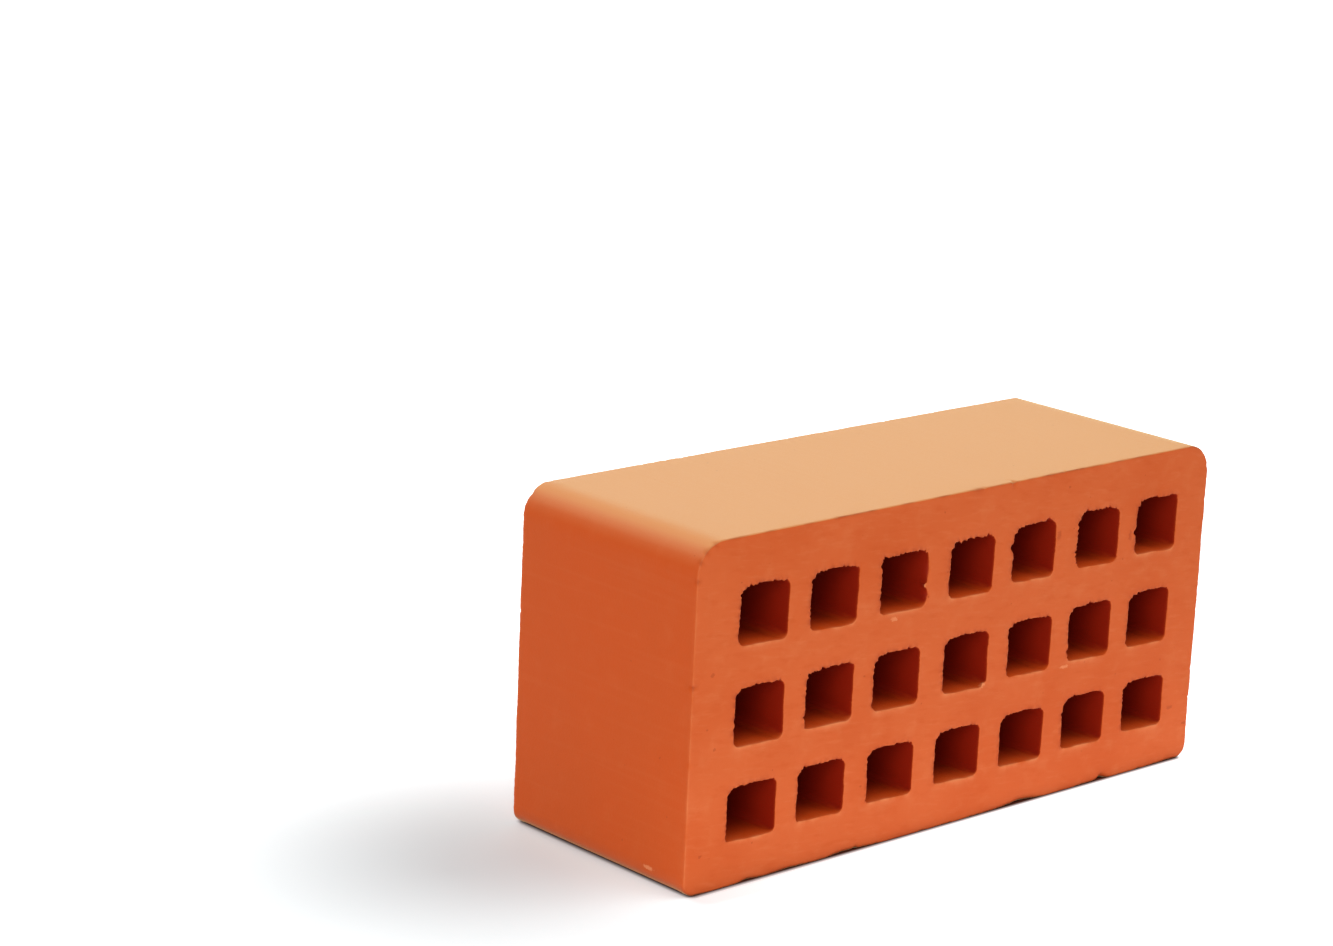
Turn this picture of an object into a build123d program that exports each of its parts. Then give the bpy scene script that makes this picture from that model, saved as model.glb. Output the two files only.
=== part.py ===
from build123d import *
import os

# Perforated clay facing brick: a column of clay extruded through a die along Y and cut off by wire.
# It lies on its back stretcher with the show face up, as it would on a level floor.
# Lengths are in millimetres. The origin is the middle of the face that the brick rests on.

# The fired brick: LENGTH runs along X, WIDTH along Z and HEIGHT along Y.
LENGTH = 250.0
WIDTH = 120.0
HEIGHT = 88.0

# Edges. The die rounds those of the show face more than those of the back stretcher,
# and firing leaves the wire-cut arrises only just broken.
FACE_EDGE_RADIUS = 11.0
BACK_EDGE_RADIUS = 5.0
ARRIS_RADIUS = 0.8

# Cores: square voids that run right through, from one wire-cut bed to the other.
CORE_COLUMNS = 7
CORE_ROWS = 3
CORE_LENGTH = 22.2
CORE_WIDTH = 20.4
CORE_CORNER_RADIUS = 2.6

# Walls between the outside and the nearest cores. The show face has the thickest long wall.
END_WALL = 17.1
FACE_WALL = 16.6
BACK_WALL = 14.6

# The webs take up evenly what the walls and the cores leave.
column_web = (LENGTH - 2 * END_WALL - CORE_COLUMNS * CORE_LENGTH) / (CORE_COLUMNS - 1)
row_web = (WIDTH - FACE_WALL - BACK_WALL - CORE_ROWS * CORE_WIDTH) / (CORE_ROWS - 1)
column_pitch = CORE_LENGTH + column_web
row_pitch = CORE_WIDTH + row_web
core_grid_middle = (BACK_WALL + WIDTH - FACE_WALL) / 2


def die_outline():
    """The outside of the section: a rectangle that stands on the X axis, with its edges rounded."""
    outline = Pos(0, WIDTH / 2) * Rectangle(LENGTH, WIDTH)
    corners = outline.vertices().group_by(Axis.Y)
    outline = fillet(corners[-1], FACE_EDGE_RADIUS)
    return fillet(outline.vertices().group_by(Axis.Y)[0], BACK_EDGE_RADIUS)


def core_grid():
    """Every core of the die, as sections on one regular grid."""
    core = RectangleRounded(CORE_LENGTH, CORE_WIDTH, CORE_CORNER_RADIUS)
    grid = GridLocations(column_pitch, row_pitch, CORE_COLUMNS, CORE_ROWS)
    return [Pos(0, core_grid_middle) * place * core for place in grid]


def wire_cut_arrises(column):
    """The outer edges of the two cut faces, one at each end of the column."""
    beds = column.faces().filter_by(Axis.Y).group_by(Axis.Y)
    return [edge for bed in (beds[0], beds[-1]) for edge in bed[0].outer_wire().edges()]


def clay_brick():
    """One length of the extruded column, cut off and fired."""
    section = die_outline() - core_grid()
    column = extrude(Plane.XZ * section, amount=HEIGHT / 2, both=True)
    return fillet(wire_cut_arrises(column), ARRIS_RADIUS)


os.makedirs("parts", exist_ok=True)
export_step(clay_brick(), "parts/clay_brick.step")
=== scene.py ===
import math
import random

import bpy
import numpy as np
from mathutils import Matrix, Vector, noise


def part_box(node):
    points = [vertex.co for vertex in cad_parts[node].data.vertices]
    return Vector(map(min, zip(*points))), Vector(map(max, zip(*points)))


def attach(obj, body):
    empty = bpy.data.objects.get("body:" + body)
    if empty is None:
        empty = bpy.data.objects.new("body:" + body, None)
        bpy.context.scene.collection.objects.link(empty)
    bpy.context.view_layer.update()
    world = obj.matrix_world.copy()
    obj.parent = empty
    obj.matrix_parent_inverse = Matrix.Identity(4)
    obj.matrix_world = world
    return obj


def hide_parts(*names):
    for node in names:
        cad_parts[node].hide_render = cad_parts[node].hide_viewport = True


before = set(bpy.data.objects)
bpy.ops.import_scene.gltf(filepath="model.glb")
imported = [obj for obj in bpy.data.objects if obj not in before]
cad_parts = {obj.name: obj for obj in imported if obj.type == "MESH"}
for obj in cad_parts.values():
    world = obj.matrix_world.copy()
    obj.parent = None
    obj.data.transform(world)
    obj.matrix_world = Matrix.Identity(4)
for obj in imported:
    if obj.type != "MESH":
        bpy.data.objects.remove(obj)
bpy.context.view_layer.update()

bl_info = {
    "name": "Fired clay brick",
    "version": (1, 0, 0),
    "blender": (4, 5, 0),
    "location": "View3D > Sidebar > Brick",
    "description": "Dresses the packed brick as fired clay: wire-cut beds, torn mouths, worn arrises",
    "category": "Object",
}

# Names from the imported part, and of the piece that stands for it
NODE = "clay_brick"
BODY = "root"
PIECE = "fired_brick"

MM = 0.001
TINY = 1e-9
# A vertex lies on a wall when it is this near to it.
ON_WALL = 100 * TINY
# A face looks along an axis when its normal has at least this much of it.
LOOKS_ALONG = 0.9999
# Decimals, in metres, at which two walls or two vertices count as one
SAME_WALL = 6
SAME_VERTEX = 7

# Vertices along the sides of a core's cell where the mesh is coarse; at the edges it is FINE times finer
ACROSS = 15
UPWARD = 13
FINE = 4
# Rings of vertices round a core's mouth, by distance from it on a bed and by depth in the core,
# each with how many times finer than the coarse mesh it is
MOUTH_RINGS = ((0.0, 4), (0.35 * MM, 4), (0.9 * MM, 4), (1.8 * MM, 2), (3.4 * MM, 1))
CORE_DEPTHS = (*MOUTH_RINGS, (7.0 * MM, 1), (14.0 * MM, 1), (27.0 * MM, 1))
# Rings from the last of these on a bed to the edge of the core's cell
CELL_RINGS = 2
# Rings by distance from the brick's arris, on a bed and on the outside
RIM_RINGS = ((3.2 * MM, 1), (2.2 * MM, 2), (1.4 * MM, 4), (0.8 * MM, 4), (0.4 * MM, 4), (0.0, 4))
SIDE_DEPTHS = (
    *RIM_RINGS[:2:-1],
    (1.6 * MM, 4),
    (2.6 * MM, 2),
    (4.5 * MM, 1),
    (9.0 * MM, 1),
    (18.0 * MM, 1),
    (30.0 * MM, 1),
)

# How far each core lies to the right of its place in the die, in millimetres, row by row from the bottom
CORE_SHIFTS = (
    (0.5, 0.0, 0.5, 1.0, 1.5, 1.5, 1.5),
    (2.0, 1.5, 1.0, 2.5, 2.5, 1.5, 0.5),
    (2.0, 1.5, 2.0, 2.5, 1.5, 2.5, 1.5),
)
# How far the lower side of the cores in each row lies above its place in the die, in millimetres
ROW_FLOORS = (1.2, 0.0, 0.0)
# How far the upper side of a core bows up in its middle, and the lower side rises at its left end
CORE_BOW = 0.7 * MM
CORE_TILT = 0.4 * MM
# How far each row sags at its left end, in millimetres, and the share of that at its right end
ROW_SAGS = (0.3, 1.0, 1.0)
RIGHT_SAG = 1 / 3
# How far from a core its shift dies out in the clay
SHIFT_REACH = 5 * MM

# Seeds of the dice for the cores' places, their tears and the small chips
WANDER_SEED = 21
TEAR_SEED = 8
CHIP_SEED = 5

# How much each side of a core's mouth tears as the wire runs down through the clay: it breaks out at the
# top, drags at the left, and enters clean at the right and the bottom.
TEARS_UP = 1.0
TEARS_LEFT = 0.8
TEARS_RIGHT = 0.35
TEARS_DOWN = 0.08
# How much each row tears, from the bottom
ROW_TEARS = (0.6, 0.8, 1.15)
# The least and the most that a core tears, as a share of its row
CORE_TEARS = (0.6, 1.1)
# How far the wire drags clay in over the left side of a mouth
DRAGGED_IN = 0.55 * MM
# What a tear is made of, in shares of its depth: a little everywhere, broad waves, teeth and bites, less
# what shuts the upper left corner. Teeth are fine and coarse, and bites start above a level of noise.
EVEN_SHARE = 0.05
BROAD_SHARE = 0.3
TEETH_SHARE = 0.65
BITES_SHARE = 1.4
SHUT_SHARE = 0.4
FINE_SHARE = 0.75
COARSE_SHARE = 0.35
BITES_START = 0.2
# How strong the teeth are: usually, and at least and at most
TOOTHED = 0.7
TOOTHED_RANGE = (0.4, 1.2)
# The most that a mouth is dragged shut, and the most that it is torn open as a share of the tears' reach
MOST_SHUT = 1.4 * MM
MOST_OPEN = 0.9
# How much torn clay sinks below the bed, as a share of the tear, and how far from the mouth that dies out
SUNK_SHARE = 0.4
SUNK_REACH = 0.6 * MM
# How far apart the two beds lie in the noise, so that they tear differently
BEDS_APART = 0.3

# Distance of the lip's ridge from the mouth, and the ridge's half width
LIP_GAP = 0.6 * MM
LIP_WIDTH = 0.5 * MM
# How sharply what lies straight below a core is told from its corners
STRAIGHT_BELOW = 4

# How uneven the arrises are, in shares of their radius, how much more the lowest are worn in stretches,
# and the least radius
WAVE_SHARE = 0.8
NICK_SHARE = 0.7
LOW_WEAR = 2.0 * MM
LEAST_ARRIS = 0.2 * MM
# Depths and half widths of the small chips, in millimetres
SMALL_DEPTHS = (0.2, 0.8)
SMALL_WIDTHS = (0.4, 1.3)
# Reach of the outside's ripples inwards and of a bed's waves downwards, and the height of those waves
RIPPLE_REACH = 2 * MM
BED_REACH = 0.6 * MM
BED_WAVE = 0.12 * MM
# The ripples are drawn out along the extrusion.
RIPPLE_STRETCH = (1, 0.35, 1)

# How far apart in the noise each seed lies from the next
NOISE_STEP = (17.3, -9.1, 5.7)
# Noise in the shape: the size of its lumps and a seed
WALL_BENDS = (7 * MM, 3)
BROAD_TEARS = (6 * MM, 5)
FINE_TEETH = (0.9 * MM, 7)
COARSE_TEETH = (1.7 * MM, 39)
TOOTHED_STRETCHES = (5 * MM, 33)
TORN_BITES = (2.4 * MM, 9)
ARRIS_WAVES = (9 * MM, 13)
ARRIS_NICKS = (1.6 * MM, 17)
LOW_STRETCHES = (22 * MM, 37)
BED_WAVES = (14 * MM, 23)
# Patches between 0 and 1: the size of their lumps, a seed, the middle level and the swing about it
RIPPLES = (26 * MM, 19, 0.5, 0.5)
LIP_BREAKS = (5 * MM, 11, 0.65, 0.6)
# The next three darken the clay: painted shade in the pits of the tears, a dark line along the upper
# arrises, and painted shade along the lower ones.
PIT_SHADE = (1.3 * MM, 29, 0.5, 1.6)
UPPER_DARK_LINE = (6 * MM, 31, 0.3, 1.2)
LOW_SHADE = (11 * MM, 37, 0.4, 1.5)

# How far each mark reaches: painted highlight on the lip, painted shade in pits along a tear and down it,
# painted highlight and shade on the arrises, painted shade on the lowest ones and in chips, and the
# wire's cut
LIP_HIGHLIGHT_REACH = 0.8 * MM
PIT_REACH = 0.6 * MM
PIT_DEPTH = 0.3 * MM
ARRIS_REACH = 0.4 * MM
LOW_REACH = 0.9 * MM
CHIP_REACH = 1.2 * MM
CUT_REACH = 0.5 * MM
# Depth at which the painted shade in a core sets in, and how much deeper it does on the core's floor,
# which stays paler near the mouth as painted light
CORE_SHADE_START = 0.3 * MM
LIT_FLOOR_DEPTH = 10 * MM
# How strong the painted shade is in a chip and on the underside, and how the underside's shade starts and
# grows
CHIP_SHADE = 0.7
UNDER_SHADE = 0.8
UNDER_SHADE_START = 0.1
UNDER_SHADE_GROWTH = 1.5
# How strong the painted highlight on the upright arrises is
UPRIGHT_HIGHLIGHT = 0.4
# The paler top is painted light for the upper face: it is full where the outside faces up this much, and
# falls off at this power below it.
PALE_TOP_FULL = 0.9
PALE_TOP_FALL = 3

# The floor to the left of the brick, where the camera sees its shade, and how that fades out to white
SHADE_MIDDLE = (-0.17, 0.02, 0.0)
SHADE_FADE = (-0.02, 0.22)
# The shade ends along the plane of the front bed: all white from the first Y, all shade from the second
SHADE_FRONT = (-70 * MM, -36 * MM)
# How the light that the floor throws up at the brick grows away from it, and where it fades out
BOUNCE_RISE = (0.0, 0.008)
BOUNCE_FADE = (0.05, 0.22)
# The painted contact shadow, a dark line on the floor where the brick meets it: how it fades out, how far
# inside the beds it starts, and its colour
CONTACT_SHADOW_FADE = (0.8 * MM, 4.0 * MM)
CONTACT_SHADOW_INSET = 1.6 * MM
CONTACT_SHADOW_COLOUR = (0.12, 0.035, 0.02)
# Half the side of the white sweep
SWEEP_HALF = 6.0

# Soft lights: name, place, aim and size
SOFT_BOXES = (
    ("key", (0.45, -0.6, 1.4), (0, 0, 0.05), 1.0),
    ("fill", (-1.3, -0.9, 0.7), (0, 0, 0.05), 0.9),
    ("top", (-0.4, 1.15, 1.1), (0, 0, 0.12), 0.8),
    ("back", (0.9, 1.2, 0.55), (0, 0, 0.12), 1.0),
)
# Width of the camera's sensor in millimetres, and the nearest and furthest that it sees in metres
SENSOR_WIDTH = 36
CLIP_START = 0.01
CLIP_END = 50

# The wire's drag marks run along the bed, down to the right by this much.
DRAG_SLOPE = math.radians(7)
# Noise in the clay's colour: hotter patches, mottling, drag marks, lines of the die, smears and pores
HOT_NOISE = {"size": 55 * MM, "detail": 2.0}
MOTTLE_NOISE = {"size": 9 * MM, "detail": 4.0}
DRAG_NOISE = {"size": 1.5 * MM, "stretch": (5, 1, 1), "slope": DRAG_SLOPE}
DIE_NOISE = {"size": 2.2 * MM, "stretch": (1, 30, 1), "detail": 2.0}
SMEAR_NOISE = {"size": 2.6 * MM, "stretch": (3.5, 1, 1), "slope": DRAG_SLOPE, "detail": 4.0}
PORE_NOISE = {"size": 2.4 * MM, "detail": 1.0}
# Roughness of the grain's noise
GRAIN_ROUGHNESS = 0.65
# Levels of noise at which each layer of colour starts and is full
HOT_LEVELS = (0.4, 0.75)
BLOTCH_LEVELS = (0.5, 0.8)
LINE_LEVELS = (0.5, 0.75)
SMEAR_LEVELS = (0.5, 0.75)
HIGHLIGHT_LEVELS = (0.3, 0.65)
PORE_LEVELS = (0.77, 0.8)
# Shares of the layers where they are full; the pairs are for the die skin and for a cut bed
HOT_SHARE = 0.55
BLOTCH_SHARES = (0.04, 0.12)
LINE_SHARES = (0.03, 0.09)
SMEAR_SHARE = 0.35
PALE_TOP_SHARE = 0.85
HIGHLIGHT_SHARE = 0.7
PORE_SHARE = 0.35
PAINTED_SHADE_SHARE = 0.75
PALE_SHARE = 0.65
DARK_SHARE = 0.35
# How ragged spots are, and the ragged distance at which they start and are full
SPOT_RAGGED = 2.2
SPOT_LEVELS = (2.3, 1.7)
# Relief of grain, lines and pores as shares of the grain's height, and the strength of the whole
GRAIN_RELIEF = 0.6
LINE_RELIEF = 0.5
PORE_RELIEF = 0.1
RELIEF_STRENGTH = 0.8
# Roughness of the clay, what the grain adds to it, and the roughness of its dusty sheen
CLAY_ROUGHNESS = 0.42
GRAIN_ADDS = 0.25
SHEEN_ROUGHNESS = 0.36

# Chips on the arrises that the photo shows: place in millimetres in the row frame, depth and half width
CHIPS = (
    ((79.0, -44.0, 0.0), 3.2, 2.4),
    ((35.0, -44.0, 0.0), 2.2, 7.0),
    ((-52.0, -44.0, 0.0), 1.6, 6.0),
    ((-96.0, -44.0, 0.0), 1.4, 4.0),
    ((21.5, -44.0, 120.0), 2.4, 1.0),
    ((4.0, -44.0, 120.0), 0.8, 3.0),
    ((-117.5, -44.0, 119.4), 1.8, 0.9),
    ((-121.4, -44.0, 117.1), 2.2, 1.1),
    ((-123.8, -44.0, 113.8), 1.9, 0.9),
    ((-124.8, -44.0, 107.5), 1.6, 0.8),
    ((-125.0, -44.0, 72.0), 1.6, 0.9),
    ((-122.0, 44.0, 117.0), 1.0, 1.2),
    ((-114.0, 44.0, 120.0), 0.9, 1.2),
)
# Bites out of the cores' mouths on the front bed, and crumbs that hang in them with a depth below 0:
# place along X and Z as the die leaves it, depth and half width, in millimetres
BITES = (
    ((-42.8, 102.8), 1.3, 1.6),
    ((-21.2, 95.8), 1.1, 3.0),
    ((-21.2, 90.3), -1.8, 0.8),
    ((-21.2, 86.8), 1.0, 1.6),
    ((9.9, 49.2), -1.5, 1.0),
    ((-107.6, 102.4), 0.9, 1.5),
)
# Pale crumbs and worn patches, and dark smudges: place in the row frame, half width and half height, in
# millimetres
PALE_SPOTS = (
    ((-20.6, -44.0, 89.6), 1.1, 0.8),
    ((11.8, -44.0, 48.4), 1.5, 1.0),
    ((-34.0, -44.0, 80.0), 1.6, 0.8),
    ((54.0, -44.0, 47.4), 2.4, 0.6),
    ((6.6, -44.0, 48.5), 1.2, 0.6),
    ((-125.0, -26.5, 5.6), 2.4, 0.7),
)
DARK_SPOTS = (
    ((84.5, -44.0, 91.0), 0.9, 2.0),
    ((-116.5, -44.0, 75.0), 0.9, 0.8),
    ((46.5, -44.0, 97.0), 1.2, 1.6),
    ((114.0, -44.0, 21.0), 2.0, 0.7),
)

# What the panel lists: each group of settings, and the operator that uses it
PANEL_GROUPS = (("brick_shape", "brick.fire"), ("brick_clay", None), ("brick_stage", "brick.stage"))


class BrickShape(bpy.types.PropertyGroup):
    """Sizes of what cutting, firing and handling leave on the brick."""

    core_wander: bpy.props.FloatProperty(
        name="Core wander",
        description="How far a core may sit off its row",
        default=0.3 * MM,
        unit="LENGTH",
    )
    core_wobble: bpy.props.FloatProperty(
        name="Core wobble",
        description="How far a core's walls bend in and out",
        default=0.35 * MM,
        unit="LENGTH",
    )
    tear_depth: bpy.props.FloatProperty(
        name="Tear depth",
        description="How far clay is torn back at the roughest side of a core's mouth",
        default=1.7 * MM,
        unit="LENGTH",
    )
    tear_reach: bpy.props.FloatProperty(
        name="Tear reach",
        description="How far from a core's mouth a tear dies out",
        default=2.0 * MM,
        unit="LENGTH",
    )
    mouth_radius: bpy.props.FloatProperty(
        name="Mouth radius",
        description="Rounding of the edge between a bed and a core",
        default=0.15 * MM,
        unit="LENGTH",
    )
    lip_height: bpy.props.FloatProperty(
        name="Lip height",
        description="Height of the lip that the wire raises below a core",
        default=0.14 * MM,
        unit="LENGTH",
    )
    bed_inset: bpy.props.FloatProperty(
        name="Bed inset",
        description="How far the beds lie inside the nominal size, to leave room for lips and ripples",
        default=0.15 * MM,
        unit="LENGTH",
    )
    ripple: bpy.props.FloatProperty(
        name="Ripple",
        description="How far the outside waves in from the nominal size",
        default=0.14 * MM,
        unit="LENGTH",
    )
    arris_radius: bpy.props.FloatProperty(
        name="Arris radius",
        description="Usual rounding of the wire-cut arrises",
        default=0.5 * MM,
        unit="LENGTH",
    )
    small_chips: bpy.props.IntProperty(
        name="Small chips",
        description="Number of small chips along the arrises",
        default=60,
        min=0,
    )


class BrickClay(bpy.types.PropertyGroup):
    """Colours and relief of the fired clay."""

    # The skin's darker, redder tone against the beds is partly painted shade: it stands in for the dimmer
    # light on the ends.
    skin_colour: bpy.props.FloatVectorProperty(
        name="Skin colour",
        description="The smooth skin that the die leaves",
        default=(0.635, 0.079, 0.007),
        size=3,
        subtype="COLOR",
    )
    # The beds are paler than the skin partly as painted light, since the front bed faces the key light.
    cut_colour: bpy.props.FloatVectorProperty(
        name="Cut colour",
        description="The drier, paler beds that the wire leaves",
        default=(0.69, 0.127, 0.03),
        size=3,
        subtype="COLOR",
    )
    deep_colour: bpy.props.FloatVectorProperty(
        name="Deep colour",
        description="Redder patches where the fire was hotter",
        default=(0.61, 0.085, 0.011),
        size=3,
        subtype="COLOR",
    )
    # Pale dust on patches, lines and specks, and also the colour of the painted highlights on the edges.
    dust_and_highlight_colour: bpy.props.FloatVectorProperty(
        name="Dust colour",
        description="Pale rubbed clay on edges and specks",
        default=(0.86, 0.3, 0.12),
        size=3,
        subtype="COLOR",
    )
    # Painted light: the upper face and its rounded edges are paler where the light falls on them.
    pale_top_colour: bpy.props.FloatVectorProperty(
        name="Bloom colour",
        description="The sandy bloom on the upper face and its rounded edges",
        default=(0.73, 0.32, 0.113),
        size=3,
        subtype="COLOR",
    )
    # Painted shade: the cores' walls turn darker and redder with depth, where shade falls in them.
    core_shade_colour: bpy.props.FloatVectorProperty(
        name="Core colour",
        description="The walls of the cores, fired darker and redder than the outside",
        default=(0.295, 0.0125, 0.0025),
        size=3,
        subtype="COLOR",
    )
    # Also the colour of the painted shade in pits, chips, along the arrises and on the underside.
    pore_and_shade_colour: bpy.props.FloatVectorProperty(
        name="Pore colour",
        description="Dark pores and burnt specks",
        default=(0.34, 0.03, 0.006),
        size=3,
        subtype="COLOR",
    )
    sheen_colour: bpy.props.FloatVectorProperty(
        name="Sheen colour",
        description="Tint of the dusty bloom that shows at a glancing angle",
        default=(1.0, 1.0, 0.52),
        size=3,
        subtype="COLOR",
    )
    sheen: bpy.props.FloatProperty(
        name="Sheen",
        description="Strength of the dusty bloom",
        default=0.6,
        subtype="FACTOR",
    )
    gloss: bpy.props.FloatProperty(
        name="Gloss",
        description="Specular level of the clay",
        default=0.1,
        subtype="FACTOR",
    )
    grain_size: bpy.props.FloatProperty(
        name="Grain size",
        description="Size of the sandy grain",
        default=0.7 * MM,
        unit="LENGTH",
    )
    grain_height: bpy.props.FloatProperty(
        name="Grain height",
        description="Relief of the grain and of the wire's drag marks",
        default=0.12 * MM,
        unit="LENGTH",
    )


class BrickStage(bpy.types.PropertyGroup):
    """The camera, fitted to the photo's edges, and the studio around the brick."""

    azimuth: bpy.props.FloatProperty(
        name="Azimuth",
        description="Where the camera stands round the brick; 0 looks along +Y",
        default=math.radians(-42.255),
        unit="ROTATION",
    )
    elevation: bpy.props.FloatProperty(
        name="Elevation",
        description="Angle of the camera above the horizon",
        default=math.radians(14.518),
        unit="ROTATION",
    )
    roll: bpy.props.FloatProperty(
        name="Roll",
        description="Turn of the camera about its own line of sight",
        default=math.radians(2.525),
        unit="ROTATION",
    )
    aim: bpy.props.FloatVectorProperty(
        name="Aim",
        description="The point in the middle of the picture",
        default=(-45.78 * MM, 60.33 * MM, 109.29 * MM),
        size=3,
        subtype="TRANSLATION",
        unit="LENGTH",
    )
    distance: bpy.props.FloatProperty(
        name="Distance",
        description="From the camera to the aim",
        default=1.2586,
        unit="LENGTH",
    )
    lens: bpy.props.FloatProperty(
        name="Lens",
        description="Focal length in millimetres on a sensor 36 mm wide",
        default=96.25,
        unit="CAMERA",
    )
    floor_colour: bpy.props.FloatVectorProperty(
        name="Floor colour",
        description="The white sweep under the brick",
        default=(0.69, 0.73, 0.74),
        size=3,
        subtype="COLOR",
    )
    floor_bounce: bpy.props.FloatProperty(
        name="Floor bounce",
        description="Light that the sweep throws back up at the brick from close by",
        default=0.78,
    )
    room_level: bpy.props.FloatProperty(
        name="Room level",
        description="Even light from all round",
        default=0.25,
    )
    key_watts: bpy.props.FloatProperty(
        name="Key light",
        description="Soft light from high in front",
        default=11.0,
        unit="POWER",
    )
    fill_watts: bpy.props.FloatProperty(
        name="Fill light",
        description="Soft light from the front left",
        default=12.2,
        unit="POWER",
    )
    top_watts: bpy.props.FloatProperty(
        name="Top light",
        description="Soft light from high behind, which picks out the rounded edge",
        default=10.6,
        unit="POWER",
    )
    back_watts: bpy.props.FloatProperty(
        name="Back light",
        description="Low soft light from behind, which skims the upper face",
        default=5.2,
        unit="POWER",
    )


class DieSection:
    """The brick's section in X and Z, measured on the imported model, in metres."""

    def __init__(self):
        self.low, self.high = (np.array(corner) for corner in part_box(NODE))
        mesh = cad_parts[NODE].data
        walls_x = flat_walls(mesh, 0)
        walls_z = flat_walls(mesh, 2)
        self.columns = spans(walls_x)
        self.rows = spans(walls_z)
        first_wall = np.array(walls_x[self.columns[0][0]])
        in_first_row = np.abs(first_wall[:, 2] - np.mean(self.rows[0])) < np.ptp(self.rows[0]) / 2
        flat_part = np.ptp(first_wall[in_first_row][:, 2])
        self.core_radius = (np.ptp(self.rows[0]) - flat_part) / 2
        ends = sorted(walls_z)
        self.back_radius = self.high[0] - np.array(walls_z[ends[0]])[:, 0].max()
        self.face_radius = self.high[0] - np.array(walls_z[ends[-1]])[:, 0].max()
        self.edges_x = self.cell_edges(self.columns, 0)
        self.edges_z = self.cell_edges(self.rows, 2)

    def cell_edges(self, cores, axis):
        """Where the cells of clay around the cores meet: mid web, and at the outside of the brick."""
        webs = [(before[1] + after[0]) / 2 for before, after in zip(cores, cores[1:])]
        return [self.low[axis], *webs, self.high[axis]]

    def mouth(self, column, row):
        """The edge of a core as one loop."""
        radii = [self.core_radius] * 4
        return np.concatenate(rectangle_sides(self.columns[column], self.rows[row], radii))

    def cell(self, column, row, gap):
        """The four sides of the clay around a core, with those on the outside moved in by a gap."""
        outer = (row == len(self.rows) - 1, column == len(self.columns) - 1, row == 0, column == 0)
        x_span = (self.edges_x[column] + gap * outer[3], self.edges_x[column + 1] - gap * outer[1])
        z_span = (self.edges_z[row] + gap * outer[2], self.edges_z[row + 1] - gap * outer[0])
        die_radii = (self.face_radius, self.face_radius, self.back_radius, self.back_radius)
        radii = [die_radii[i] - gap if outer[i] and outer[i - 1] else 0.0 for i in range(4)]
        return rectangle_sides(x_span, z_span, radii)

    def outline(self, gap):
        """The outside of the section, moved in by a gap, as one loop that keeps step with the cells."""
        columns, rows = range(len(self.columns)), range(len(self.rows))
        top = [self.cell(column, rows[-1], gap)[0] for column in columns]
        right = [self.cell(columns[-1], row, gap)[1] for row in reversed(rows)]
        bottom = [self.cell(column, rows[0], gap)[2] for column in reversed(columns)]
        left = [self.cell(columns[0], row, gap)[3] for row in rows]
        return np.concatenate(top + right + bottom + left)


def flat_walls(mesh, axis):
    """Every place along one axis where flat faces look along it, with the vertices of those faces."""
    walls = {}
    for face in mesh.polygons:
        if abs(face.normal[axis]) > LOOKS_ALONG:
            corners = [mesh.vertices[i].co[:] for i in face.vertices]
            walls.setdefault(round(face.center[axis], SAME_WALL), []).extend(corners)
    return walls


def spans(walls):
    """The cores' walls along an axis, in pairs, without the two outside faces."""
    inner = sorted(walls)[1:-1]
    if len(inner) < 2 or len(inner) % 2:
        raise RuntimeError(f"{len(inner)} core walls along an axis of the packed brick don't pair up")
    return list(zip(inner[0::2], inner[1::2]))


def side_points(start, end, start_radius, end_radius, count):
    """Points from the middle of one rounded corner to just before that of the next, evenly spaced.

    The outside is on the left of the way from start to end.
    """
    length = np.linalg.norm(end - start)
    along = (end - start) / length
    outward = np.array((-along[1], along[0]))
    run = length - start_radius - end_radius
    first_arc = start_radius * math.pi / 4
    way = np.arange(count) / count * (first_arc + run + end_radius * math.pi / 4)
    still_to_turn = positive(first_arc - way) / max(start_radius, TINY)
    turned = positive(way - first_arc - run) / max(end_radius, TINY)
    straight = np.clip(way - first_arc, 0, run)
    forward = start_radius * (1 - np.sin(still_to_turn)) + straight + end_radius * np.sin(turned)
    inward = start_radius * (1 - np.cos(still_to_turn)) + end_radius * (1 - np.cos(turned))
    return start + forward[:, None] * along - inward[:, None] * outward


def rectangle_sides(x_span, z_span, radii):
    """The four sides of a rounded rectangle, clockwise from the top left, each a list of points."""
    (x0, x1), (z0, z1) = x_span, z_span
    corners = [np.array(corner) for corner in ((x0, z1), (x1, z1), (x1, z0), (x0, z0))]
    counts = (ACROSS * FINE, UPWARD * FINE, ACROSS * FINE, UPWARD * FINE)
    return [
        side_points(corners[i], corners[(i + 1) % 4], radii[i], radii[(i + 1) % 4], counts[i])
        for i in range(4)
    ]


def upright(loop, fineness, y):
    """A loop of the section, placed at y in the brick and thinned out to a fineness."""
    kept = loop[:: FINE // fineness]
    return np.column_stack((kept[:, 0], np.full(len(kept), y), kept[:, 1]))


def bed_rings(mouth, edge, y):
    """Rings on a bed from a core's mouth to the edge of its cell."""
    way = edge - mouth
    length = np.linalg.norm(way, axis=1)[:, None]
    rings = [upright(mouth + way * gap / length, fineness, y) for gap, fineness in MOUTH_RINGS]
    last = MOUTH_RINGS[-1][0] / length
    for step in range(1, CELL_RINGS + 1):
        rings.append(upright(mouth + way * (last + (1 - last) * step / CELL_RINGS), 1, y))
    return rings


def through_rings(loop, depths, section):
    """Rings along Y from the front bed to the rear one, at the given depths from each."""
    front, rear = section.low[1], section.high[1]
    near = [upright(loop, fineness, front + depth) for depth, fineness in depths]
    far = [upright(loop, fineness, rear - depth) for depth, fineness in reversed(depths)]
    return [*near, upright(loop, 1, (front + rear) / 2), *far]


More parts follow.
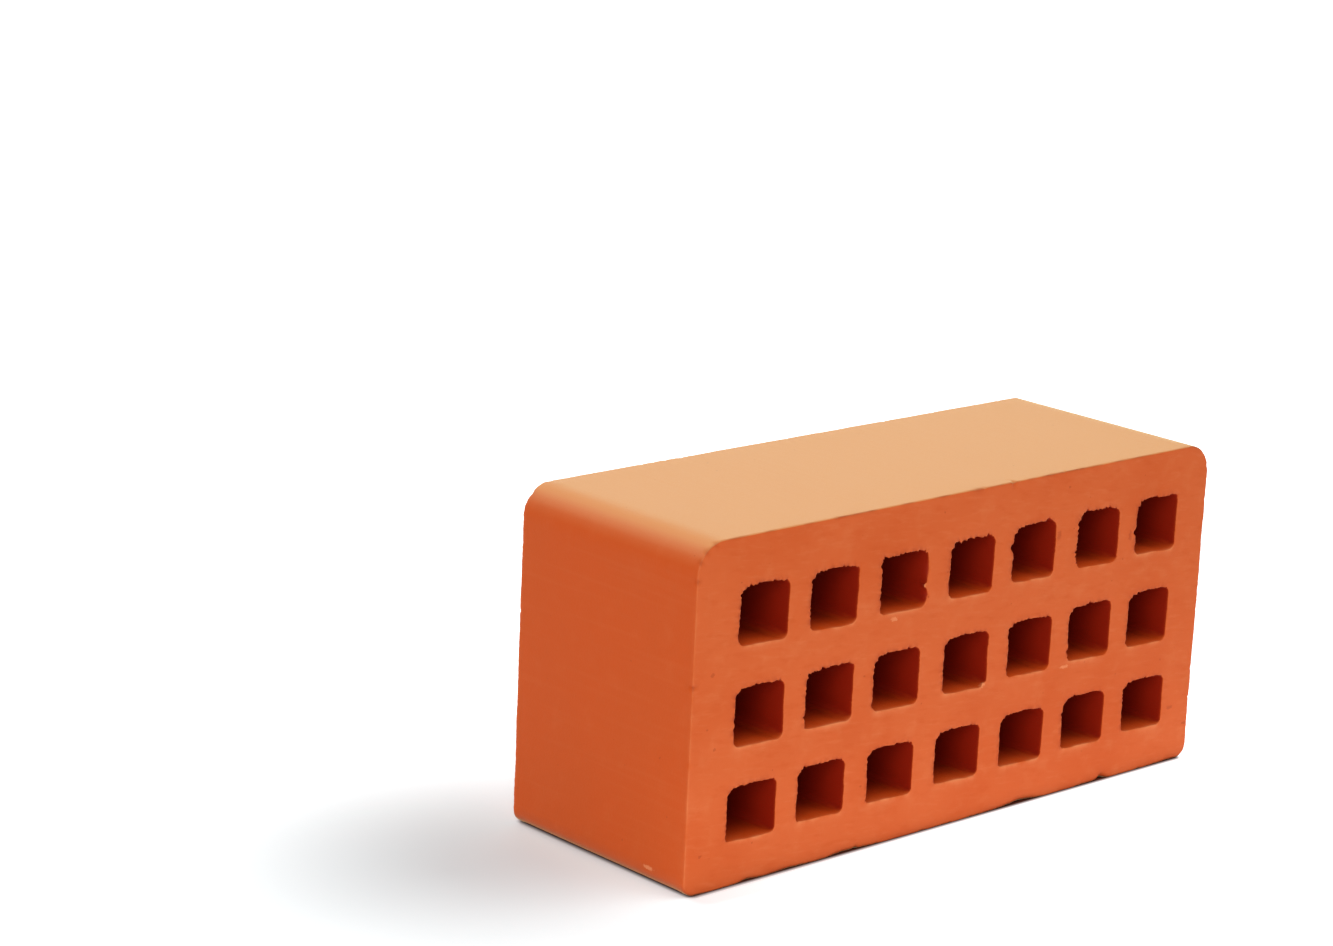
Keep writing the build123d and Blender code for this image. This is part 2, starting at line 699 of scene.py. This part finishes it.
def brick_sleeves(section):
    """Sleeves that close the brick together: each a list of rings, and whether to flip its faces."""
    beds = ((section.low[1], False), (section.high[1], True))
    frame_gap = RIM_RINGS[0][0]
    sleeves = []
    for row in range(len(section.rows)):
        for column in range(len(section.columns)):
            mouth = section.mouth(column, row)
            edge = np.concatenate(section.cell(column, row, frame_gap))
            sleeves.extend((bed_rings(mouth, edge, y), flip) for y, flip in beds)
            sleeves.append((through_rings(mouth, CORE_DEPTHS, section), True))
    rims = [(section.outline(gap), fineness) for gap, fineness in RIM_RINGS]
    sleeves.extend(([upright(loop, fineness, y) for loop, fineness in rims], flip) for y, flip in beds)
    sleeves.append((through_rings(section.outline(0.0), SIDE_DEPTHS, section), False))
    return sleeves


def stitch(ring, following):
    """Faces between two closed rings of vertex numbers, of which one may have twice as many."""
    if len(ring) < len(following):
        return [faces[:, ::-1] for faces in stitch(following, ring)]
    ahead = np.roll(following, -1)
    if len(ring) == len(following):
        return [np.column_stack((ring, np.roll(ring, -1), ahead, following))]
    start, middle, end = ring[0::2], ring[1::2], np.roll(ring, -2)[0::2]
    corners = ((start, middle, following), (middle, end, ahead), (middle, ahead, following))
    return [np.column_stack(triangle) for triangle in corners]


def weld(sleeves):
    """One list of vertices and one of faces from all the sleeves."""
    points, faces, start = [], [], 0
    for rings, flip in sleeves:
        ends = np.cumsum([len(ring) for ring in rings])
        numbers = np.split(start + np.arange(ends[-1]), ends[:-1])
        for ring, following in zip(numbers, numbers[1:]):
            faces.extend(side[:, ::-1] if flip else side for side in stitch(ring, following))
        points.extend(rings)
        start += ends[-1]
    points = np.concatenate(points)
    rounded = np.round(points, SAME_VERTEX)
    _, kept, place = np.unique(rounded, axis=0, return_index=True, return_inverse=True)
    place = place.reshape(-1)
    return points[kept], [face for side in faces for face in place[side].tolist()]


def rounded_distance(local, half, radius):
    """Distance from points to a rounded rectangle, negative inside it, and the way straight out of it."""
    beyond = np.abs(local) - (half - radius[:, None])
    outside = positive(beyond)
    reach = np.linalg.norm(outside, axis=1)
    distance = reach + np.minimum(beyond.max(1), 0) - radius
    nearest_side = np.eye(2)[beyond.argmax(1)]
    out = np.where(reach[:, None] > TINY, outside / np.maximum(reach, TINY)[:, None], nearest_side)
    return distance, out * np.where(local < 0, -1.0, 1.0)


def cloud(points, size, seed):
    """Smooth noise between about -1 and 1 with lumps of the given size."""
    shift = Vector([step * seed for step in NOISE_STEP])
    return np.array([noise.noise(Vector(point) / size + shift) for point in points])


def patches(points, size, seed, middle, swing):
    """Patches between 0 and 1 that swing about a middle level."""
    return np.clip(middle + swing * cloud(points, size, seed), 0, 1)


def positive(values):
    """The values, with those below 0 raised to it."""
    return np.clip(values, 0, None)


def dab(points, place, width):
    """1 at a place, fading out over a half width, both in millimetres."""
    away = np.linalg.norm(points - np.array(place) * MM, axis=1) / (width * MM)
    return np.exp(-(away**2))


def fade(distance, reach):
    """1 at no distance, falling smoothly to 0."""
    return np.exp(-distance / reach)


def broken_edge(gap, depth, radius):
    """How far to move points in from two faces, at gap and depth from them, to round the edge between."""
    from_gap = positive(radius - gap)
    from_depth = positive(radius - depth)
    length = np.maximum(np.hypot(from_gap, from_depth), TINY)
    in_corner = (from_gap > 0) & (from_depth > 0)
    cut = np.where(in_corner, 1 - np.minimum(radius / length, 1), 0)
    return from_gap * cut, from_depth * cut


class WornBrick:
    """Moves the vertices of the exact brick to where cutting, firing and handling leave them."""

    def __init__(self, points, section, shape):
        self.points = points
        self.section = section
        self.shape = shape
        self.flat = points[:, (0, 2)]
        self.depth = np.minimum(points[:, 1] - section.low[1], section.high[1] - points[:, 1])
        self.side = np.where(points[:, 1] < (section.low[1] + section.high[1]) / 2, -1.0, 1.0)
        self.find_core()
        self.find_rim()

    def find_core(self):
        """The nearest core of each vertex, the nearest place on its wall, and the way out of it."""
        cores = (self.section.columns, self.section.rows)
        middles = [np.mean(walls, axis=1) for walls in cores]
        half = np.array([np.ptp(walls[0]) for walls in cores]) / 2
        place = [np.abs(self.flat[:, i, None] - middles[i]).argmin(1) for i in range(2)]
        local = self.flat - np.stack([middles[i][place[i]] for i in range(2)], 1)
        radius = np.full(len(local), self.section.core_radius)
        gap, self.core_out = rounded_distance(local, half, radius)
        self.core_along = np.clip(local[:, 0] / half[0], -1, 1)
        self.core_number = place[1] * len(self.section.columns) + place[0]
        self.core_gap = positive(gap)
        self.on_core = self.core_gap < ON_WALL
        self.wall = self.flat - self.core_out * self.core_gap[:, None]

    def find_rim(self):
        """Each vertex's distance in from the outside of the section, the way out, and its arris."""
        low, high = self.section.low[[0, 2]], self.section.high[[0, 2]]
        local = self.flat - (low + high) / 2
        radius = np.where(local[:, 1] > 0, self.section.face_radius, self.section.back_radius)
        gap, self.rim_out = rounded_distance(local, (high - low) / 2, radius)
        self.rim_gap = positive(-gap)
        self.on_rim = self.rim_gap < ON_WALL
        rim = self.flat + self.rim_out * self.rim_gap[:, None]
        self.arris = np.column_stack((rim[:, 0], self.side * self.section.high[1], rim[:, 1]))

    def wander(self):
        """Each core a little off its place and its walls a little bent, alike all through the brick."""
        dice = random.Random(WANDER_SEED)
        columns, rows = len(self.section.columns), len(self.section.rows)
        along = np.array(CORE_SHIFTS).reshape(-1) * MM
        up = np.array([dice.uniform(-1, 1) for _ in range(columns * rows)]) * self.shape.core_wander
        up -= np.outer(ROW_SAGS, np.linspace(1, RIGHT_SAG, columns)).reshape(-1) * MM
        chosen = np.column_stack((along, up))[self.core_number]
        line = np.column_stack((self.wall[:, 0], np.zeros(len(self.wall)), self.wall[:, 1]))
        bend = cloud(line, *WALL_BENDS) * self.shape.core_wobble
        bend -= positive(self.core_out[:, 1]) * self.core_along**2 * CORE_BOW
        raised = np.repeat(ROW_FLOORS, columns)[self.core_number] * MM
        bend -= positive(-self.core_out[:, 1]) * (raised - self.core_along * CORE_TILT)
        hold = np.clip(1 - self.core_gap / SHIFT_REACH, 0, 1)
        return (chosen + self.core_out * bend[:, None]) * hold[:, None]

    def tears(self):
        """How far the clay is torn back from the cores' mouths: along the bed, and down from it."""
        dice = random.Random(TEAR_SEED)
        right, up = self.core_out.T
        rough = (
            TEARS_UP * positive(up)
            + TEARS_DOWN * positive(-up)
            + TEARS_LEFT * positive(-right)
            + TEARS_RIGHT * positive(right)
        )
        unlike = [row * dice.uniform(*CORE_TEARS) for row in ROW_TEARS for _ in self.section.columns]
        unlike = np.array(unlike)[self.core_number]
        line = np.column_stack((self.wall[:, 0], self.side * BEDS_APART, self.wall[:, 1]))
        teeth = FINE_SHARE * cloud(line, *FINE_TEETH) + COARSE_SHARE * cloud(line, *COARSE_TEETH)
        teeth = teeth * np.clip(TOOTHED + cloud(line, *TOOTHED_STRETCHES), *TOOTHED_RANGE)
        bites = positive(cloud(line, *TORN_BITES) - BITES_START)
        upper_left = 2 * positive(up) * positive(-right)
        torn = EVEN_SHARE + BROAD_SHARE * cloud(line, *BROAD_TEARS)
        torn = torn + TEETH_SHARE * teeth + BITES_SHARE * bites - SHUT_SHARE * upper_left
        torn = rough * unlike * torn * self.shape.tear_depth - unlike * DRAGGED_IN * positive(-right)
        for place, depth, width in BITES:
            torn = torn + depth * MM * dab(self.wall, place, width) * (self.side < 0)
        torn = np.clip(torn, -MOST_SHUT, MOST_OPEN * self.shape.tear_reach)
        from_mouth = self.core_gap + self.depth
        sunk = positive(torn) * SUNK_SHARE * fade(from_mouth, SUNK_REACH)
        return torn * fade(from_mouth, self.shape.tear_reach), sunk

    def lips(self):
        """Height of the lip that the wire raises just below each core."""
        under = positive(-self.core_out[:, 1]) ** STRAIGHT_BELOW
        ridge = np.exp(-(((self.core_gap - LIP_GAP) / LIP_WIDTH) ** 2))
        return under * ridge * patches(self.points, *LIP_BREAKS) * self.shape.lip_height

    def arris_radius(self):
        """Rounding of the arris nearest each vertex, larger where it is chipped."""
        edge = self.arris
        uneven = 1 + WAVE_SHARE * cloud(edge, *ARRIS_WAVES) + NICK_SHARE * cloud(edge, *ARRIS_NICKS)
        worn = LOW_WEAR * positive(-self.rim_out[:, 1]) * positive(cloud(edge, *LOW_STRETCHES))
        radius = self.shape.arris_radius * uneven + worn
        dice = random.Random(CHIP_SEED)
        corners = edge[self.on_rim & (self.depth < TINY)]
        chips = list(CHIPS)
        for _ in range(self.shape.small_chips):
            place = dice.choice(corners) / MM
            chips.append((place, dice.uniform(*SMALL_DEPTHS), dice.uniform(*SMALL_WIDTHS)))
        for place, depth, width in chips:
            radius = radius + depth * MM * dab(edge, place, width)
        return np.clip(radius, LEAST_ARRIS, None)

    def moved(self):
        """The vertices where they end up."""
        shape = self.shape
        torn, sunk = self.tears()
        mouth_in, mouth_down = broken_edge(self.core_gap, self.depth, shape.mouth_radius)
        arris_in, arris_down = broken_edge(self.rim_gap, self.depth, self.arris_radius())
        ripple = shape.ripple * patches(self.points * RIPPLE_STRETCH, *RIPPLES)
        rim_in = arris_in + ripple * fade(self.rim_gap, RIPPLE_REACH)
        flat_move = self.wander() + self.core_out * (torn + mouth_in)[:, None]
        flat_move -= self.rim_out * rim_in[:, None]
        bed_down = positive(shape.bed_inset + BED_WAVE * cloud(self.points, *BED_WAVES) - self.lips())
        down = bed_down * fade(self.depth, BED_REACH) + sunk + mouth_down + arris_down
        moved = self.points.copy()
        moved[:, (0, 2)] += flat_move
        moved[:, 1] -= self.side * down
        return moved

    def paint_shade(self):
        """Painted shade in the tears' pits, on the lower arrises, the underside and the chips; a dark
        line on the upper ones.
        """
        right, up = self.core_out.T
        above, below = positive(self.rim_out[:, 1]), positive(-self.rim_out[:, 1])
        from_arris = self.rim_gap + self.depth
        torn = fade(self.core_gap, PIT_REACH) * fade(self.depth, PIT_DEPTH) * np.clip(up - right, 0, 1)
        shaded_pits = torn * patches(self.points, *PIT_SHADE)
        upper = fade(from_arris, ARRIS_REACH) * above * patches(self.points, *UPPER_DARK_LINE)
        lower = fade(from_arris, LOW_REACH) * below * patches(self.arris, *LOW_SHADE)
        underside = UNDER_SHADE * self.on_rim * np.clip(below * UNDER_SHADE_GROWTH - UNDER_SHADE_START, 0, 1)
        chips = [CHIP_SHADE * dab(self.arris, place, width) for place, _, width in CHIPS]
        chipped = np.max(chips, axis=0) * fade(from_arris, CHIP_REACH)
        return np.max((shaded_pits, upper, lower, underside, chipped), axis=0)

    def marks(self):
        """What the finish reads at each vertex: cut beds, painted shade in the cores, painted highlights
        and shade on edges, painted paler top.
        """
        up = self.core_out[:, 1]
        lip_highlight = fade(self.core_gap + self.depth, LIP_HIGHLIGHT_REACH) * positive(-up) ** 2
        upright_highlight = fade(self.rim_gap + self.depth, ARRIS_REACH) * np.abs(self.rim_out[:, 0])
        floor = positive(-up) ** STRAIGHT_BELOW
        return {
            "cut": fade(self.depth, CUT_REACH) * ~(self.on_core & (self.depth > TINY)),
            # Painted shade deeper in each core, setting in later on its floor, which stays paler as
            # painted light
            "core": self.on_core * (1 - fade(self.depth, CORE_SHADE_START + floor * LIT_FLOOR_DEPTH)),
            # Painted highlight on the lip below each core and on the upright arrises
            "painted_highlight": np.maximum(lip_highlight, UPRIGHT_HIGHLIGHT * upright_highlight),
            # Painted shade in pits, chips, the lower arrises and the underside, and a dark line on the
            # upper arrises
            "painted_shade": self.paint_shade(),
            # Painted light: the paler top, full where the outside faces up
            "painted_pale_top": self.on_rim * np.clip(self.rim_out[:, 1] / PALE_TOP_FULL, 0, 1) ** PALE_TOP_FALL,
        }


def link_object(name, data):
    """A new object in the scene."""
    thing = bpy.data.objects.new(name, data)
    bpy.context.scene.collection.objects.link(thing)
    return thing


class NodeBench:
    """Short ways to build a node tree."""

    def __init__(self, tree):
        self.tree = tree
        tree.nodes.clear()

    def add(self, kind, values=None, **settings):
        """A node with its settings and its inputs: a socket is linked and anything else is a value."""
        node = self.tree.nodes.new(kind)
        for name, value in settings.items():
            setattr(node, name, value)
        for name, value in (values or {}).items():
            if isinstance(value, bpy.types.NodeSocket):
                self.tree.links.new(value, node.inputs[name])
            else:
                node.inputs[name].default_value = value
        return node

    def math(self, operation, *values):
        """One sum on values or sockets."""
        return self.add("ShaderNodeMath", dict(enumerate(values)), operation=operation).outputs[0]

    def vector(self, operation, *values):
        """One sum on vectors, which gives a vector, or a number for a length or a distance."""
        node = self.add("ShaderNodeVectorMath", dict(enumerate(values)), operation=operation)
        return node.outputs["Value" if operation in ("LENGTH", "DISTANCE") else "Vector"]

    def place(self):
        """Where a point of the surface lies on its object."""
        return self.add("ShaderNodeTexCoord").outputs["Object"]

    def mark(self, name):
        """What the mesh holds under a name at each vertex."""
        return self.add("ShaderNodeAttribute", attribute_name=name).outputs["Fac"]

    def seen(self):
        """1 for what the camera sees, straight or by way of gloss or glass."""
        path = self.add("ShaderNodeLightPath").outputs
        seen = self.math("MAXIMUM", path["Is Camera Ray"], path["Is Glossy Ray"])
        return self.math("MAXIMUM", seen, path["Is Transmission Ray"])

    def noise(self, place, size, stretch=(1, 1, 1), slope=0.0, detail=3.0, roughness=0.55):
        """Noise with lumps of a size, drawn out along the axes by a stretch, on a slope about Y."""
        values = {"Vector": place, "Rotation": (0, slope, 0), "Scale": stretch}
        mapped = self.add("ShaderNodeMapping", values, vector_type="TEXTURE")
        values = {"Vector": mapped.outputs[0], "Scale": 1 / size}
        values.update({"Detail": detail, "Roughness": roughness})
        return self.add("ShaderNodeTexNoise", values).outputs["Fac"]

    def spots(self, place, rough, spots):
        """1 within irregular spots, each a place, a half width and a half height in millimetres."""
        found = 0.0
        for middle, half_width, half_height in spots:
            centre = [value * MM for value in middle]
            size = (half_width * MM, half_width * MM, half_height * MM)
            scaled = self.vector("DIVIDE", self.vector("SUBTRACT", place, centre), size)
            away = self.vector("LENGTH", scaled)
            ragged = self.math("MULTIPLY_ADD", rough, SPOT_RAGGED, away)
            found = self.math("MAXIMUM", found, self.ramp(ragged, *SPOT_LEVELS))
        return found

    def between(self, mask, first, second):
        """The first number where a mask is 0, the second where it is 1."""
        return self.math("MULTIPLY_ADD", mask, second - first, first)

    def ramp(self, value, low, high):
        """0 below low, 1 above high, smooth between."""
        values = {"Value": value, "From Min": low, "From Max": high}
        return self.add("ShaderNodeMapRange", values, interpolation_type="SMOOTHSTEP").outputs["Result"]

    def blend(self, share, first, second):
        """A colour between two, each a socket or a colour."""
        colours = [c if isinstance(c, bpy.types.NodeSocket) else (*c, 1.0) for c in (first, second)]
        node = self.add("ShaderNodeMix", data_type="RGBA", blend_type="MIX")
        for name, value in (("Factor", share), ("A", colours[0]), ("B", colours[1])):
            socket = next(s for s in node.inputs if s.name == name and s.enabled)
            if isinstance(value, bpy.types.NodeSocket):
                self.tree.links.new(value, socket)
            else:
                socket.default_value = value
        return next(s for s in node.outputs if s.enabled)


def fired_clay(name, clay, sheen):
    """The clay: a smooth die skin, drier cut beds with drag marks, pores and specks, and painted
    highlights, shade and a paler top.
    """
    material = bpy.data.materials.new(name)
    material.use_nodes = True
    bench = NodeBench(material.node_tree)
    place = bench.place()
    cut = bench.mark("cut")
    mottle = bench.noise(place, **MOTTLE_NOISE)
    grain = bench.noise(place, clay.grain_size, roughness=GRAIN_ROUGHNESS)
    drawn = {"Factor": cut, "A": bench.noise(place, **DIE_NOISE), "B": bench.noise(place, **DRAG_NOISE)}
    lines = bench.add("ShaderNodeMix", drawn, data_type="FLOAT").outputs[0]
    hot = bench.ramp(bench.noise(place, **HOT_NOISE), *HOT_LEVELS)
    blotches = bench.ramp(mottle, *BLOTCH_LEVELS)
    smears = bench.ramp(bench.noise(place, **SMEAR_NOISE), *SMEAR_LEVELS)
    painted_highlight = bench.math("MULTIPLY", bench.mark("painted_highlight"), bench.ramp(mottle, *HIGHLIGHT_LEVELS))
    pores = bench.ramp(bench.noise(place, **PORE_NOISE), *PORE_LEVELS)

    # Skin against cut bed: partly painted shade, darker and redder on the ends where less light falls
    body = bench.blend(cut, clay.skin_colour, clay.cut_colour)
    layers = (
        (hot, HOT_SHARE, clay.deep_colour),
        (blotches, bench.between(cut, *BLOTCH_SHARES), clay.dust_and_highlight_colour),
        (bench.ramp(lines, *LINE_LEVELS), bench.between(cut, *LINE_SHARES), clay.dust_and_highlight_colour),
        (smears, SMEAR_SHARE, clay.deep_colour),
        # Painted light: the paler upper face and its rounded edges
        (bench.mark("painted_pale_top"), PALE_TOP_SHARE, clay.pale_top_colour),
        # Painted highlight on the lips and the upright arrises
        (painted_highlight, HIGHLIGHT_SHARE, clay.dust_and_highlight_colour),
        (pores, PORE_SHARE, clay.pore_and_shade_colour),
        # Painted shade in pits, chips and along the lower edges
        (bench.mark("painted_shade"), PAINTED_SHADE_SHARE, clay.pore_and_shade_colour),
        (bench.spots(place, grain, PALE_SPOTS), PALE_SHARE, clay.dust_and_highlight_colour),
        (bench.spots(place, grain, DARK_SPOTS), DARK_SHARE, clay.pore_and_shade_colour),
    )
    for mask, share, colour in layers:
        body = bench.blend(bench.math("MULTIPLY", mask, share), body, colour)
    # Painted shade in the cores
    body = bench.blend(bench.mark("core"), body, clay.core_shade_colour)

    height = bench.math("MULTIPLY_ADD", lines, LINE_RELIEF, bench.math("MULTIPLY", grain, GRAIN_RELIEF))
    height = bench.math("MULTIPLY_ADD", pores, -PORE_RELIEF, height)
    relief = {"Height": height, "Distance": clay.grain_height, "Strength": RELIEF_STRENGTH}
    bump = bench.add("ShaderNodeBump", relief)
    values = {
        "Base Color": body,
        "Roughness": bench.math("MULTIPLY_ADD", grain, GRAIN_ADDS, CLAY_ROUGHNESS),
        "Normal": bump.outputs[0],
        "Specular IOR Level": clay.gloss,
        "Sheen Weight": sheen,
        "Sheen Roughness": SHEEN_ROUGHNESS,
        "Sheen Tint": (*clay.sheen_colour, 1.0),
    }
    surface = bench.add("ShaderNodeBsdfPrincipled", values)
    bench.add("ShaderNodeOutputMaterial", {"Surface": surface.outputs[0]})
    return material


class BRICK_OT_fire(bpy.types.Operator):
    """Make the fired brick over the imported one"""

    bl_idname = "brick.fire"
    bl_label = "Fired brick"

    def execute(self, context):
        section = DieSection()
        points, faces = weld(brick_sleeves(section))
        worn = WornBrick(points, section, context.scene.brick_shape)
        mesh = bpy.data.meshes.new(PIECE)
        mesh.from_pydata(worn.moved().tolist(), [], faces)
        mesh.shade_smooth()
        for name, values in worn.marks().items():
            attribute = mesh.attributes.new(name, "FLOAT", "POINT")
            attribute.data.foreach_set("value", values.astype(np.float32))
        if mesh.validate():
            raise RuntimeError("the brick's mesh has faults")
        clay = context.scene.brick_clay
        mesh.materials.append(fired_clay("skin_clay", clay, clay.sheen))
        mesh.materials.append(fired_clay("cut_clay", clay, 0.0))
        slots = [int(not worn.on_rim[face].all()) for face in faces]
        mesh.polygons.foreach_set("material_index", slots)
        brick = link_object(PIECE, mesh)
        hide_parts(NODE)
        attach(brick, BODY)
        return {"FINISHED"}


def sweep_material(colour, bounce, half_flat):
    """A matt white, darkest in a painted contact shadow against the brick, that the camera sees lighter
    away from its shade.
    """
    material = bpy.data.materials.new("white_sweep")
    material.use_nodes = True
    bench = NodeBench(material.node_tree)
    place = bench.place()
    beyond = bench.vector("SUBTRACT", bench.vector("ABSOLUTE", place), (*half_flat, 0))
    gap = bench.vector("LENGTH", bench.vector("MAXIMUM", beyond, (0, 0, 0)))
    # Painted contact shadow: the floor's own colour turns dark close round the brick.
    clear = bench.ramp(gap, *CONTACT_SHADOW_FADE)
    matt = bench.add("ShaderNodeBsdfDiffuse", {"Color": bench.blend(clear, CONTACT_SHADOW_COLOUR, colour)})
    along_y = bench.add("ShaderNodeSeparateXYZ", {0: place}).outputs["Y"]
    open_front = bench.math("SUBTRACT", 1.0, bench.ramp(along_y, *SHADE_FRONT))
    off_shade = bench.ramp(bench.vector("DISTANCE", place, SHADE_MIDDLE), *SHADE_FADE)
    level = bench.math("MULTIPLY", bench.math("MAXIMUM", off_shade, open_front), clear)
    near = bench.math("SUBTRACT", 1.0, bench.ramp(gap, *BOUNCE_FADE))
    near = bench.math("MULTIPLY", near, bench.ramp(gap, *BOUNCE_RISE))
    strength = bench.math("MAXIMUM", bench.seen(), bench.math("MULTIPLY", near, bounce))
    glow = bench.add("ShaderNodeEmission", {"Strength": bench.math("MULTIPLY", strength, level)})
    both = bench.add("ShaderNodeAddShader", {0: matt.outputs[0], 1: glow.outputs[0]})
    bench.add("ShaderNodeOutputMaterial", {"Surface": both.outputs[0]})
    return material


def soft_box(name, place, aim, size, watts):
    """A square soft light at a place, turned towards an aim."""
    light = bpy.data.lights.new(name, "AREA")
    light.size = size
    light.energy = watts
    lamp = link_object(name, light)
    lamp.location = place
    lamp.rotation_euler = (Vector(aim) - Vector(place)).to_track_quat("-Z", "Y").to_euler()


class BRICK_OT_stage(bpy.types.Operator):
    """Lay the white sweep, hang the lights and set the camera"""

    bl_idname = "brick.stage"
    bl_label = "Stage"

    def execute(self, context):
        stage = context.scene.brick_stage
        self.sweep(stage)
        self.lights(context.scene, stage)
        self.camera(context.scene, stage)
        context.scene.view_settings.view_transform = "Standard"
        return {"FINISHED"}

    def sweep(self, stage):
        """The floor, level with the lowest point of the brick."""
        mesh = bpy.data.meshes.new("sweep")
        corners = [(x * SWEEP_HALF, y * SWEEP_HALF, 0) for x, y in ((-1, -1), (1, -1), (1, 1), (-1, 1))]
        mesh.from_pydata(corners, [], [(0, 1, 2, 3)])
        section = DieSection()
        half_flat = (section.high[0] - section.back_radius, section.high[1] - CONTACT_SHADOW_INSET)
        mesh.materials.append(sweep_material(stage.floor_colour, stage.floor_bounce, half_flat))
        link_object("sweep", mesh)

    def lights(self, scene, stage):
        """Even light from the room, a key high in front, a fill from the left, and two lights behind."""
        world = bpy.data.worlds.new("white_room")
        world.use_nodes = True
        bench = NodeBench(world.node_tree)
        level = bench.between(bench.seen(), stage.room_level, 1.0)
        room = bench.add("ShaderNodeBackground", {"Strength": level})
        bench.add("ShaderNodeOutputWorld", {"Surface": room.outputs[0]})
        scene.world = world
        watts = (stage.key_watts, stage.fill_watts, stage.top_watts, stage.back_watts)
        for (name, place, aim, size), power in zip(SOFT_BOXES, watts):
            soft_box(name, place, aim, size, power)

    def camera(self, scene, stage):
        """The camera where it stood for the photo."""
        turn, rise = stage.azimuth, stage.elevation
        back = Vector((math.sin(turn) * math.cos(rise), -math.cos(turn) * math.cos(rise), math.sin(rise)))
        data = bpy.data.cameras.new("camera")
        data.sensor_width = SENSOR_WIDTH
        data.lens = stage.lens
        data.clip_start = CLIP_START
        data.clip_end = CLIP_END
        camera = link_object("camera", data)
        facing = (-back).to_track_quat("-Z", "Y").to_matrix() @ Matrix.Rotation(stage.roll, 3, "Z")
        stand = Matrix.Translation(Vector(stage.aim) + back * stage.distance)
        camera.matrix_world = stand @ facing.to_4x4()
        scene.camera = camera


class BRICK_PT_panel(bpy.types.Panel):
    """Sizes, colours and operators of the fired brick"""

    bl_idname = "BRICK_PT_panel"
    bl_label = "Fired clay brick"
    bl_space_type = "VIEW_3D"
    bl_region_type = "UI"
    bl_category = "Brick"

    def draw(self, context):
        for name, maker in PANEL_GROUPS:
            column = self.layout.column()
            group = getattr(context.scene, name)
            for key in group.bl_rna.properties.keys():
                if key not in ("rna_type", "name"):
                    column.prop(group, key)
            if maker:
                column.operator(maker)


CLASSES = (BrickShape, BrickClay, BrickStage, BRICK_OT_fire, BRICK_OT_stage, BRICK_PT_panel)


def register():
    """Adds the settings, the operators and the panel to Blender."""
    for each in CLASSES:
        bpy.utils.register_class(each)
    bpy.types.Scene.brick_shape = bpy.props.PointerProperty(type=BrickShape)
    bpy.types.Scene.brick_clay = bpy.props.PointerProperty(type=BrickClay)
    bpy.types.Scene.brick_stage = bpy.props.PointerProperty(type=BrickStage)


def unregister():
    """Takes them away again."""
    del bpy.types.Scene.brick_stage
    del bpy.types.Scene.brick_clay
    del bpy.types.Scene.brick_shape
    for each in reversed(CLASSES):
        bpy.utils.unregister_class(each)


def main():
    """Builds the brick and its stage."""
    register()
    bpy.ops.brick.fire()
    bpy.ops.brick.stage()


if __name__ == "__main__":
    main()
